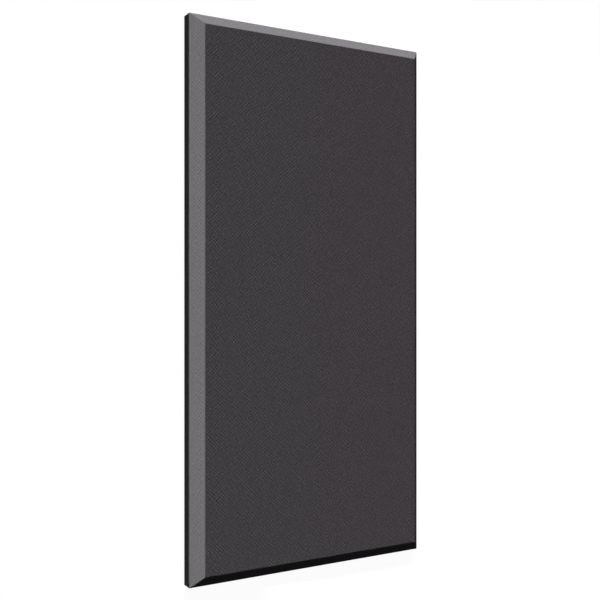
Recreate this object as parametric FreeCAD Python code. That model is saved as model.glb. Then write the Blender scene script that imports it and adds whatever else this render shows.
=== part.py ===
# A fabric-wrapped acoustic wall panel with bevelled edges, lying face up.
# A rigid fibre board has its front edges bevelled on all four sides. One piece of woven cloth
# covers its face, bevels and side walls, and is turned in and glued over the edge of the back.
# Millimetres. +X is across the panel, +Y along it, +Z out of its face.
# The origin is the centre of the back, at the level of the cloth that bears on the wall.
import FreeCAD
import Part
import math
import os

# Outer size of the finished panel
panel_width = 609.6
panel_length = 1219.2

# Profile of each edge: a square side wall, then a bevel that runs in to the face
wall_height = 25.4
bevel_width = 25.4
bevel_height = 25.4

# The cloth, and how far it is turned in over the back
cloth_thickness = 1.0
back_return = 45.0

# The board's hardened edges are slightly rounded, and the cloth follows them
board_edge_radius = 2.0

panel_thickness = wall_height + bevel_height
cloth_edge_radius = board_edge_radius + cloth_thickness


def rectangle(width, length, level):
    """A closed rectangle about the panel's centre line, at one level."""
    x, y = width / 2, length / 2
    corners = [(-x, -y), (x, -y), (x, y), (-x, y), (-x, -y)]
    return Part.makePolygon([FreeCAD.Vector(cx, cy, level) for cx, cy in corners])


def bevelled_block(inset):
    """The panel's sharp-edged outer shape, with every face moved inwards by inset."""
    slope = math.hypot(bevel_width, bevel_height)
    width, length = panel_width - 2 * inset, panel_length - 2 * inset
    bevel_foot = wall_height - inset * (slope - bevel_height) / bevel_width
    bevel_run = bevel_width - inset + inset * (slope - bevel_width) / bevel_height
    face_level = panel_thickness - inset

    slab = Part.Face(rectangle(width, length, inset)).extrude(FreeCAD.Vector(0, 0, bevel_foot - inset))
    foot = rectangle(width, length, bevel_foot)
    face = rectangle(width - 2 * bevel_run, length - 2 * bevel_run, face_level)
    frustum = Part.makeLoft([foot, face], True, True)
    return slab.fuse(frustum).removeSplitter().Solids[0]


def rounded(block, radius):
    """The block grown by radius, which rounds every edge and corner by that radius."""
    surface_tolerance = 1e-3
    return block.makeOffsetShape(radius, surface_tolerance)


def fibre_board():
    return rounded(bevelled_block(cloth_edge_radius), board_edge_radius)


def cloth_cover():
    """The cloth hugs the board everywhere, and leaves the middle of the back bare."""
    outside = rounded(bevelled_block(cloth_edge_radius), cloth_edge_radius)
    bare_back = rectangle(panel_width - 2 * back_return, panel_length - 2 * back_return, 0)
    opening = Part.Face(bare_back).extrude(FreeCAD.Vector(0, 0, cloth_thickness))
    return outside.cut(fibre_board()).cut(opening)


os.makedirs("parts", exist_ok=True)
for node, shape in (("fibre_board", fibre_board()), ("cloth_cover", cloth_cover())):
    solid = shape.Solids[0]
    solid.exportStep(f"parts/{node}.step")
    box = solid.BoundBox
    print(node, len(shape.Solids), solid.isValid(), f"{solid.Volume / 1e6:.4f} litres",
          f"{box.XLength:.1f} x {box.YLength:.1f} x {box.ZLength:.1f}, from z {box.ZMin:.2f}")
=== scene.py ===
# A cloth-wrapped acoustic wall panel, lying face up on a pale studio floor.
# Metres, in the solids' own frame: X across the panel, Y along it, Z out of its face.
import bmesh
import bpy
import math
from mathutils import Matrix, Vector, noise
from types import SimpleNamespace


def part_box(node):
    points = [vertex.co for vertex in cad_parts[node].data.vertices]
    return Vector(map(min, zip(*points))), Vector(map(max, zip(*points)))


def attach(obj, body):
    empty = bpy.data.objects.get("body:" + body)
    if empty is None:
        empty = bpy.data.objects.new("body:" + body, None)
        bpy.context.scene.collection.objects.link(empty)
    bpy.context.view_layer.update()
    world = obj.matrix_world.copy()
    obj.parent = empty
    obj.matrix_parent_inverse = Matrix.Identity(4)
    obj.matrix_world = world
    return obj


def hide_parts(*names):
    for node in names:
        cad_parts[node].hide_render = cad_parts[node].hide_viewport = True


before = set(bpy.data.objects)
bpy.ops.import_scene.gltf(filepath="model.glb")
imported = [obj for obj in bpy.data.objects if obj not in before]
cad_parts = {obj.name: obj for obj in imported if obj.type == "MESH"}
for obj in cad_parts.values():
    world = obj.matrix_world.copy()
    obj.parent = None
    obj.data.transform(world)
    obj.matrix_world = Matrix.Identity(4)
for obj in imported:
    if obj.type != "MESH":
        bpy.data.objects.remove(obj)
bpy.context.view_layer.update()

# Sizes of the panel, from the solids where they hold them
cover_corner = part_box("cloth_cover")[1]
board_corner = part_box("fibre_board")[1]
half_width, half_length, face_level = cover_corner.x, cover_corner.y, cover_corner.z
cloth_thickness = cover_corner.x - board_corner.x
bevel_width = 0.0254
wall_height = face_level - bevel_width
slope_length = math.hypot(bevel_width, face_level - wall_height)
half_face_width = half_width - bevel_width
half_face_length = half_length - bevel_width
back_return = 0.045

# The rounding of every folded edge, and the spacing of the cuts that let the cloth bend
edge_rounding = 0.0017
edge_segments = 6
cut_spacing = 0.015

# The tuck at each end of the end walls, where the spare cloth of the corner is folded under
tuck_setback = 0.0032
tuck_depth = 0.0009
tuck_swelling = 0.0004
mitre_lap = 0.0007

# The weave: squares of four yarns over four, measured from the photo
square_across = 0.00403
square_along = 0.00379
yarns_in_square = 4
yarn_wander = 0.0007


def smooth_step(low, high, value):
    """Zero up to low, one from high on, and a smooth rise between them."""
    t = min(max((value - low) / (high - low), 0), 1)
    return t * t * (3 - 2 * t)


def from_edges(point):
    """How far a point lies in from the panel's sides and from its ends."""
    return half_width - abs(point.x), half_length - abs(point.y)


# The cloth's shape

def outward_face(mesh, direction):
    """The largest face that looks in one direction."""
    facing = [face for face in mesh.faces if face.normal.dot(direction) > 0.999]
    return max(facing, key=lambda face: face.calc_area())


def panel_block():
    """The outside of the panel with sharp edges: a slab whose face is raised on four bevels."""
    mesh = bmesh.new()
    bmesh.ops.create_cube(mesh, size=1)
    bmesh.ops.scale(mesh, vec=(2 * half_width, 2 * half_length, wall_height), verts=mesh.verts)
    bmesh.ops.translate(mesh, vec=(0, 0, wall_height / 2), verts=mesh.verts)
    top = outward_face(mesh, Vector((0, 0, 1)))
    bmesh.ops.inset_individual(mesh, faces=[top], thickness=bevel_width, depth=face_level - wall_height,
                               use_even_offset=True)
    return mesh


def round_edges(mesh):
    """Rounds every edge, and frames each flat so that its shading stays flat beside the rounding."""
    bmesh.ops.bevel(mesh, geom=mesh.edges[:], offset=edge_rounding, offset_type="WIDTH",
                    segments=edge_segments, profile=0.5, affect="EDGES", material=-1)
    smallest_flat = 0.01
    flats = [face for face in mesh.faces if face.calc_area() > smallest_flat]
    bmesh.ops.inset_individual(mesh, faces=flats, thickness=0.001, use_even_offset=True)


def open_back(mesh):
    """Leaves the middle of the back bare, inside the cloth that is turned in."""
    back = outward_face(mesh, Vector((0, 0, -1)))
    edge_to_back = half_width - max(corner.co.x for corner in back.verts)
    bmesh.ops.inset_individual(mesh, faces=[back], thickness=back_return - edge_to_back,
                               use_even_offset=True)
    bmesh.ops.delete(mesh, geom=[outward_face(mesh, Vector((0, 0, -1)))], context="FACES")


def cut(mesh, place, direction, chosen=None):
    """Cuts the faces, or only the chosen ones, where a plane crosses them."""
    faces = [face for face in mesh.faces if chosen is None or chosen(face.calc_center_median())]
    edges = list(dict.fromkeys(edge for face in faces for edge in face.edges))
    corners = list(dict.fromkeys(corner for face in faces for corner in face.verts))
    bmesh.ops.bisect_plane(mesh, geom=faces + edges + corners, dist=1e-5,
                           plane_co=place, plane_no=direction)


def cut_into_strips(mesh):
    """Even cuts across and along the whole panel."""
    for axis, half in ((0, half_width), (1, half_length)):
        direction = Vector((axis == 0, axis == 1, 0))
        count = round(2 * half / cut_spacing)
        for step in range(1, count):
            cut(mesh, direction * (2 * half * step / count - half), direction)


def cut_beside_tucks(mesh):
    """Cuts near both ends of the end walls, closest together at the tuck's folded edge."""
    reach = 0.036
    across, upwards = Vector((1, 0, 0)), Vector((0, 0, 1))

    def on_end_wall(centre):
        from_side, from_end = from_edges(centre)
        return from_side < reach and from_end < 0.0005 and centre.z < wall_height

    for side in (-1, 1):
        for setbacks in (0.8, 0.93, 1.0, 1.1, 1.35, 2.0, 3.2, 4.8, 6.4):
            cut(mesh, across * side * (half_width - tuck_setback * setbacks), across, on_end_wall)
        cut_along_mitres(mesh, side)
    for level in range(2, 24, 2):
        cut(mesh, upwards * level / 1000, upwards, on_end_wall)


def cut_along_mitres(mesh, side):
    """Cuts on the back at one side's two corners, along each mitre, closest together at its lap."""
    for end in (-1, 1):
        mitre = Vector((side, -end, 0)).normalized()
        corner = Vector((side * half_width, end * half_length, 0))

        def at_this_corner(centre):
            on_border = max(from_edges(centre)) < back_return and centre.z < 0.0002
            return on_border and centre.x * side > 0 and centre.y * end > 0

        for millimetres in (-9, -3, -0.8, -0.3, 0.25, 0.8, 3, 9, 18):
            cut(mesh, corner + mitre * millimetres / 1000, mitre, at_this_corner)


def tucked(point):
    """Where a point of the cloth goes once the corner's spare cloth is folded under."""
    from_side, from_end = from_edges(point)
    if max(from_side, from_end) > back_return + 0.01 or point.z > wall_height:
        return point
    end = math.copysign(1, point.y)
    moved = point.copy()

    # The side's cloth goes under the end's cloth, whose folded edge stands a little in from the corner
    opening = 1 - smooth_step(wall_height - 0.009, wall_height - 0.002, point.z)
    under = 1 - smooth_step(tuck_setback * 0.9, tuck_setback * 1.05, from_side)
    at_end = 1 - smooth_step(0.0005, 0.005, from_end)
    moved.y -= end * tuck_depth * opening * under * at_end

    # The folded layers swell the end wall as far as the fold line, which runs down at 45 degrees
    past_fold = from_side - (wall_height - point.z)
    folded = 1 - smooth_step(-0.003, 0.0015, past_fold)
    beside_edge = smooth_step(tuck_setback * 0.95, tuck_setback * 1.3, from_side)
    on_wall = 1 - smooth_step(0.0003, 0.0015, from_end)
    moved.y += end * tuck_swelling * folded * beside_edge * on_wall * smooth_step(0, 0.004, point.z)

    # On the back the end's cloth lies over the side's cloth along the mitre
    if point.z < 0.0006:
        past_mitre = (from_end - from_side) / math.sqrt(2)
        beneath = smooth_step(-0.0001, 0.0004, past_mitre) * (1 - smooth_step(0.004, 0.018, past_mitre))
        moved.z += mitre_lap * beneath * smooth_step(0.0015, 0.006, from_side)
    return moved


def relaxed(point):
    """A slight unevenness of the face, as of cloth stretched over a board that isn't perfectly flat."""
    if point.z <= face_level - 0.001:
        return point
    inside = smooth_step(0, 0.02, min(from_edges(point)) - bevel_width)
    broad = 0.00012 * noise.noise(point * 5 + Vector((3.1, 7.7, 1.3)))
    near = 0.00003 * noise.noise(point * 17 + Vector((9.2, 0.4, 5.8)))
    return point + Vector((0, 0, 1)) * inside * (broad + near)


def ragged(point):
    """Moves the raw inner edge of the turned-in cloth, which was cut by hand."""
    from_side, from_end = from_edges(point)
    from_raw_edge = back_return - min(from_side, from_end)
    disturbed = 0.012
    if point.z > 0.0006 or from_raw_edge > disturbed:
        return point
    wander = 0.0012 * noise.noise(point * 9) + 0.0005 * noise.noise(point * 70)
    amount = wander * (1 - smooth_step(0, disturbed, from_raw_edge))
    if from_side < from_end:
        return point + Vector((math.copysign(amount, point.x), 0, 0))
    return point + Vector((0, math.copysign(amount, point.y), 0))


# The cloth laid out flat

def girth(from_edge, level):
    """The distance over the cloth from the rim of the face, outwards and round to the back."""
    if level > wall_height:
        out = bevel_width - from_edge
        return out * (slope_length / bevel_width if out > 0 else 1)
    down = wall_height - level
    in_or_out = from_edge if level < wall_height / 2 else -from_edge
    return slope_length + down + in_or_out


def eased(place, half_face):
    """Along an edge, the corner's spare cloth is eased in over the bevel's own width."""
    past = max(abs(place) - half_face, 0)
    return math.copysign(min(abs(place), half_face) + past * slope_length / bevel_width, place)


def lay_out_flat(mesh):
    """Gives each corner of a face its place on the flat cloth, in metres."""
    flat = mesh.loops.layers.uv.new("flat_cloth")
    for face in mesh.faces:
        centre = face.calc_center_median()
        from_side, from_end = from_edges(centre)
        under_tuck = from_side < tuck_setback * 0.98 and from_end < 0.004 and centre.z < wall_height
        belongs_to_side = from_side < from_end or under_tuck
        for loop in face.loops:
            point = loop.vert.co
            beside, beyond = from_edges(point)
            if belongs_to_side:
                u = math.copysign(half_face_width + girth(0 if under_tuck else beside, point.z), point.x)
                v = eased(point.y, half_face_length)
                if under_tuck:
                    v += math.copysign(beside, point.y)
            else:
                u = eased(point.x, half_face_width)
                v = math.copysign(half_face_length + girth(beyond, point.z), point.y)
            loop[flat].uv = (u, v)


def show(mesh, name):
    """Turns a finished mesh into a smooth-shaded object of the scene."""
    bmesh.ops.recalc_face_normals(mesh, faces=mesh.faces[:])
    for face in mesh.faces:
        face.smooth = True
    data = bpy.data.meshes.new(name)
    mesh.to_mesh(data)
    mesh.free()
    piece = bpy.data.objects.new(name, data)
    bpy.context.scene.collection.objects.link(piece)
    return piece


def wrapped_cloth():
    """One piece of cloth over the face, bevels and walls, tucked at the corners and turned in behind."""
    mesh = panel_block()
    round_edges(mesh)
    open_back(mesh)
    cut_into_strips(mesh)
    cut_beside_tucks(mesh)
    lay_out_flat(mesh)
    for corner in mesh.verts:
        corner.co = ragged(relaxed(tucked(corner.co)))
    piece = show(mesh, "woven_cloth")
    wall = piece.modifiers.new("thickness", "SOLIDIFY")
    wall.thickness = cloth_thickness
    wall.offset = -1
    wall.use_even_offset = True
    many_sided = piece.modifiers.new("many_sided", "TRIANGULATE")
    many_sided.min_vertices = 5
    many_sided.ngon_method = "BEAUTY"
    return piece


# Materials, written as sums of sockets

class Socket:
    """An output socket of a material, so that shading reads as plain arithmetic."""

    def __init__(self, maker, output):
        self.maker, self.output = maker, output

    def math(self, operation, *others):
        return self.maker.node("ShaderNodeMath", {"operation": operation}, self, *others)

    def __add__(self, other):
        return self.math("ADD", other)

    def __sub__(self, other):
        return self.math("SUBTRACT", other)

    def __rsub__(self, other):
        return self.maker.node("ShaderNodeMath", {"operation": "SUBTRACT"}, other, self)

    def __mul__(self, other):
        return self.math("MULTIPLY", other)

    def __truediv__(self, other):
        return self.math("DIVIDE", other)

    def __pow__(self, other):
        return self.math("POWER", other)

    __radd__, __rmul__ = __add__, __mul__

    def floor(self):
        return self.math("FLOOR")

    def fraction(self):
        return self.math("FRACT")

    def size(self):
        return self.math("ABSOLUTE")


class Maker:
    """Adds nodes to one node tree."""

    def __init__(self, tree):
        self.tree = tree
        tree.nodes.clear()

    def node(self, kind, settings=None, *inputs, take=0, **named):
        """A node of one kind, with its settings, and its inputs by place or by name."""
        made = self.tree.nodes.new(kind)
        for setting, value in (settings or {}).items():
            setattr(made, setting, value)
        by_name = [(name.replace("_", " "), value) for name, value in named.items()]
        for key, value in list(enumerate(inputs)) + by_name:
            if isinstance(value, Socket):
                self.tree.links.new(value.output, made.inputs[key])
            elif value is not None:
                made.inputs[key].default_value = value
        return Socket(self, made.outputs[take]) if made.outputs else None

    def mix(self, factor, low, high):
        """Between two numbers, by a factor from nought to one."""
        return self.node("ShaderNodeMix", {"data_type": "FLOAT"}, factor, None, low, high)

    def mix_colours(self, factor, low, high):
        """Between two colours, by a factor from nought to one."""
        unused = (None,) * 5
        return self.node("ShaderNodeMix", {"data_type": "RGBA"}, factor, *unused, low, high, take=2)

    def first_two(self, vector):
        """The first two numbers of a vector."""
        first = self.node("ShaderNodeSeparateXYZ", None, vector)
        return first, Socket(self, first.output.node.outputs[1])


def new_material(name):
    material = bpy.data.materials.new(name)
    material.use_nodes = True
    return material, Maker(material.node_tree)


def cloth_noise(maker, place, scale, detail=2.0, take=0):
    """Noise over the flat cloth, scale times to the metre."""
    return maker.node("ShaderNodeTexNoise", {"noise_dimensions": "2D"}, take=take,
                      Vector=place, Scale=scale, Detail=detail)


def basket_weave(maker, place):
    """Which square and which yarn of the weave each place on the flat cloth shows, and its height."""
    u, v = maker.first_two(place)
    wander = maker.node("ShaderNodeVectorMath", {"operation": "SUBTRACT"},
                        cloth_noise(maker, place, 160, take=1), (0.5, 0.5, 0.5))
    wander_u, wander_v = maker.first_two(wander)
    across = (u + wander_u * yarn_wander) / square_across
    along = (v + wander_v * yarn_wander) / square_along
    column, row = across.floor(), along.floor()
    x, y = across.fraction(), along.fraction()
    lengthwise = ((column + row) * 0.5).fraction() * 2

    # Each square shows four yarns side by side, which dip where they go under the others
    beside = maker.mix(lengthwise, y, x) * yarns_in_square
    along_yarn = maker.mix(lengthwise, x, y)
    t = beside.fraction()
    crown = t * (1 - t) * 4
    dip = (along_yarn * 2 - 1).size() ** 8
    outer_gap = (beside / (yarns_in_square / 2) - 1).size() ** 10
    height = crown * (1 - dip) * (1 - outer_gap * 0.5)
    return SimpleNamespace(column=column, row=row, lengthwise=lengthwise, yarn=beside.floor(), height=height)


def heather(maker, weave):
    """How much lighter or darker each yarn is than the mean."""
    def chance_at(*place_in_weave):
        numbers = maker.node("ShaderNodeCombineXYZ", None, *place_in_weave)
        return maker.node("ShaderNodeTexWhiteNoise", {"noise_dimensions": "3D"}, Vector=numbers)

    # Each yarn differs, and each square differs from the four squares beside it
    column, row, lengthwise = weave.column, weave.row, weave.lengthwise
    by_yarn = chance_at(column, row, weave.yarn + lengthwise * yarns_in_square) - 0.5
    squares_beside = (chance_at(column + 1, row) + chance_at(column - 1, row)
                      + chance_at(column, row + 1) + chance_at(column, row - 1))
    by_square = chance_at(column, row) - squares_beside * 0.25

    # Here the lengthwise squares are the lighter ones, there the crosswise ones
    place_in_weave = maker.node("ShaderNodeCombineXYZ", None, column, row)
    drift = cloth_noise(maker, place_in_weave, 0.14, 1.0)
    swing = ((drift - 0.5) * 10).math("MINIMUM", 1.0).math("MAXIMUM", -1.0)
    by_direction = (lengthwise * 2 - 1) * (swing * 0.22 + 0.05)
    return by_direction + by_square * 0.26 + by_yarn * 0.32


def woven_material():
    """Charcoal cloth in a basket weave of flat heathered yarns."""
    material, maker = new_material("charcoal_weave")
    place = maker.node("ShaderNodeUVMap", {"uv_map": "flat_cloth"})
    weave = basket_weave(maker, place)
    fibres = cloth_noise(maker, place, 2600, 1.0)
    patches = cloth_noise(maker, place, 28, 3.0)

    # The heather is the yarns' own colour. On the flat face it is made stronger as painted shading of the
    # weave's relief under the low raking lamps; over the bevels and walls it is weaker.
    u, v = maker.first_two(place)
    on_face = (u.size().math("LESS_THAN", half_face_width)
               * v.size().math("LESS_THAN", half_face_length))
    heather_with_painted_raking_shade = maker.mix(on_face, 0.45, 1.0)
    tone = heather(maker, weave) * heather_with_painted_raking_shade + (fibres - 0.5) * 0.5 + (patches - 0.5) * 0.03
    # The colour is darkened where the yarns dip and in the gaps between them, as painted shade in the
    # weave's hollows, and lightened on the yarns' crowns as painted light.
    light = tone.math("EXPONENT") * maker.mix(weave.height, 0.78, 1.10)

    # The colours are those of the lightest yarns, which are twice as light as the mean.
    # On the face the dye turns a touch redder towards the panel's right.
    black = (0, 0, 0, 1)
    # Over the bevels and walls the charcoal is made a touch greyer and less purple, as a painted sheen of
    # light on the cloth there.
    painted_sheen_charcoal_over_bevels = (0.1412, 0.1359, 0.1434, 1)
    charcoal_on_left = (0.1391, 0.1305, 0.1431, 1)
    charcoal_on_right = (0.1422, 0.1255, 0.1405, 1)
    turn = 0.12
    redder = maker.node("ShaderNodeMapRange", {"interpolation_type": "SMOOTHSTEP"}, u, -turn, turn, 0.0, 1.0)
    charcoal_on_face = maker.mix_colours(redder, charcoal_on_left, charcoal_on_right)
    charcoal = maker.mix_colours(on_face, painted_sheen_charcoal_over_bevels, charcoal_on_face)
    shade = maker.node("ShaderNodeMath", {"operation": "MULTIPLY_ADD", "use_clamp": True}, light, 0.5, 0.0)
    colour = maker.mix_colours(shade, black, charcoal)

    # Relief in millimetres
    relief = maker.node("ShaderNodeBump", None, Strength=1.0, Distance=0.001,
                        Height=weave.height * 0.16 + fibres * 0.03)
    cloth = maker.node("ShaderNodeBsdfPrincipled", None, Base_Color=colour, Roughness=0.92,
                       Normal=relief, Specular_IOR_Level=0.0)
    maker.node("ShaderNodeOutputMaterial", None, cloth)
    return material


def board_material():
    """Rigid glass fibre board, yellow with its resin."""
    material, maker = new_material("resin_bonded_glass")
    place = maker.node("ShaderNodeTexCoord", None, take=3)

    def noise_at(scale, detail, stretch=(1, 1, 1)):
        stretched = maker.node("ShaderNodeMapping", None, place, (0, 0, 0), (0, 0, 0), stretch)
        return maker.node("ShaderNodeTexNoise", None, Vector=stretched, Scale=scale, Detail=detail)

    strands = noise_at(520, 3, (1, 0.25, 1)) * 0.5 + noise_at(430, 3, (0.3, 1, 1)) * 0.5
    clumps = noise_at(60, 4)
    patches = noise_at(9, 3)
    mixed = strands * 0.55 + clumps * 0.3 + patches * 0.15
    shade = maker.node("ShaderNodeMapRange", None, mixed, 0.38, 0.62, 0.0, 1.0)
    brown_resin, pale_glass = (0.42, 0.31, 0.12, 1), (0.80, 0.68, 0.38, 1)
    colour = maker.mix_colours(shade, brown_resin, pale_glass)
    relief = maker.node("ShaderNodeBump", None, Strength=1.0, Distance=0.0009,
                        Height=strands + clumps * 0.6)
    board = maker.node("ShaderNodeBsdfPrincipled", None, Base_Color=colour, Roughness=0.85,
                       Normal=relief, Specular_IOR_Level=0.25)
    maker.node("ShaderNodeOutputMaterial", None, board)
    return material


# The studio

def seen_white(maker):
    """One for the rays that should meet a white studio: the camera's, and those in gloss and glass."""
    path = maker.node("ShaderNodeLightPath").output.node.outputs
    rays = [Socket(maker, path[name]) for name in ("Is Camera Ray", "Is Glossy Ray", "Is Transmission Ray")]
    return rays[0].math("MAXIMUM", rays[1]).math("MAXIMUM", rays[2])


def studio_floor():
    """A pale floor. It is white to the camera, and keeps the panel's shadow."""
    half_floor = 30.0
    mesh = bmesh.new()
    bmesh.ops.create_grid(mesh, x_segments=1, y_segments=1, size=half_floor)
    floor = show(mesh, "studio_floor")
    material, maker = new_material("pale_floor")
    glow = maker.node("ShaderNodeEmission", None, (1, 1, 1, 1), 0.955)
    paint = maker.node("ShaderNodeBsdfDiffuse", None, (0.12, 0.12, 0.12, 1))
    pale = maker.node("ShaderNodeAddShader", None, glow, paint)
    quiet = maker.node("ShaderNodeBsdfDiffuse", None, (0.1, 0.1, 0.1, 1))
    floor_look = maker.node("ShaderNodeMixShader", None, seen_white(maker), quiet, pale)
    maker.node("ShaderNodeOutputMaterial", None, floor_look)
    floor.data.materials.append(material)


def studio_air():
    """White to the camera, and a dim even light on the panel."""
    world = bpy.data.worlds.new("studio")
    world.use_nodes = True
    maker = Maker(world.node_tree)
    strength = maker.mix(seen_white(maker), 0.088, 1.0)
    air = maker.node("ShaderNodeBackground", None, (1, 1, 1, 1), strength)
    maker.node("ShaderNodeOutputWorld", None, air)
    bpy.context.scene.world = world


def towards(round_from_left, elevation):
    """The direction of a lamp: degrees round from the panel's left towards its top end, and up."""
    turn, rise = math.radians(round_from_left), math.radians(elevation)
    return Vector((-math.cos(rise) * math.cos(turn), math.cos(rise) * math.sin(turn), math.sin(rise)))


def add_lamp(name, kind, energy, direction, sideways=Vector((0, 1, 0))):
    lamp = bpy.data.lights.new(name, kind)
    lamp.energy = energy
    holder = bpy.data.objects.new(name, lamp)
    bpy.context.scene.collection.objects.link(holder)
    x_axis = (sideways - direction * sideways.dot(direction)).normalized()
    y_axis = direction.cross(x_axis)
    holder.matrix_world = Matrix((x_axis, y_axis, direction)).transposed().to_4x4()
    holder.visible_camera = False
    return holder


def side_strip():
    """The key: a long gridded strip, whose beam ends along the foot of the left bevel."""
    direction = towards(10, 7.2)
    strip = add_lamp("side_strip", "AREA", 3.10, direction, Vector((0, -1, 0)))
    strip.data.shape = "RECTANGLE"
    strip.data.size = 1.7
    strip.data.size_y = 0.22
    strip.data.spread = math.radians(1)
    bevel_foot = Vector((-half_width, 0.05, wall_height))
    up = strip.matrix_world.to_3x3().col[1]
    up = up if up.z > 0 else -up
    strip.location = bevel_foot + direction * 0.3 + up * strip.data.size_y / 2


def distant_lamp(name, strength, softness, direction):
    """A lamp so far off that it lights everything from one direction, with an angle of softness."""
    lamp = add_lamp(name, "SUN", strength, direction)
    lamp.data.angle = math.radians(softness)


def photo_camera():
    """Where the photograph was taken from, found from the panel's corners in it."""
    lens = bpy.data.cameras.new("photo_camera")
    lens.sensor_width = 36.0
    lens.lens = 55.84
    holder = bpy.data.objects.new("photo_camera", lens)
    bpy.context.scene.collection.objects.link(holder)
    holder.location = (-1.1259, 0.001, 1.8303)
    holder.rotation_euler = (0, -math.radians(31.263), 0)
    bpy.context.scene.camera = holder


cloth = wrapped_cloth()
cloth.data.materials.append(woven_material())
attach(cloth, "root")
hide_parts("cloth_cover")

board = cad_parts["fibre_board"]
board.data.materials.clear()
board.data.materials.append(board_material())

studio_floor()
studio_air()
side_strip()
distant_lamp("end_light", 13.65, 6, towards(87.8, 3.7))
distant_lamp("right_fill", 0.06, 20, towards(180, 14))
photo_camera()
bpy.context.scene.view_settings.view_transform = "Standard"
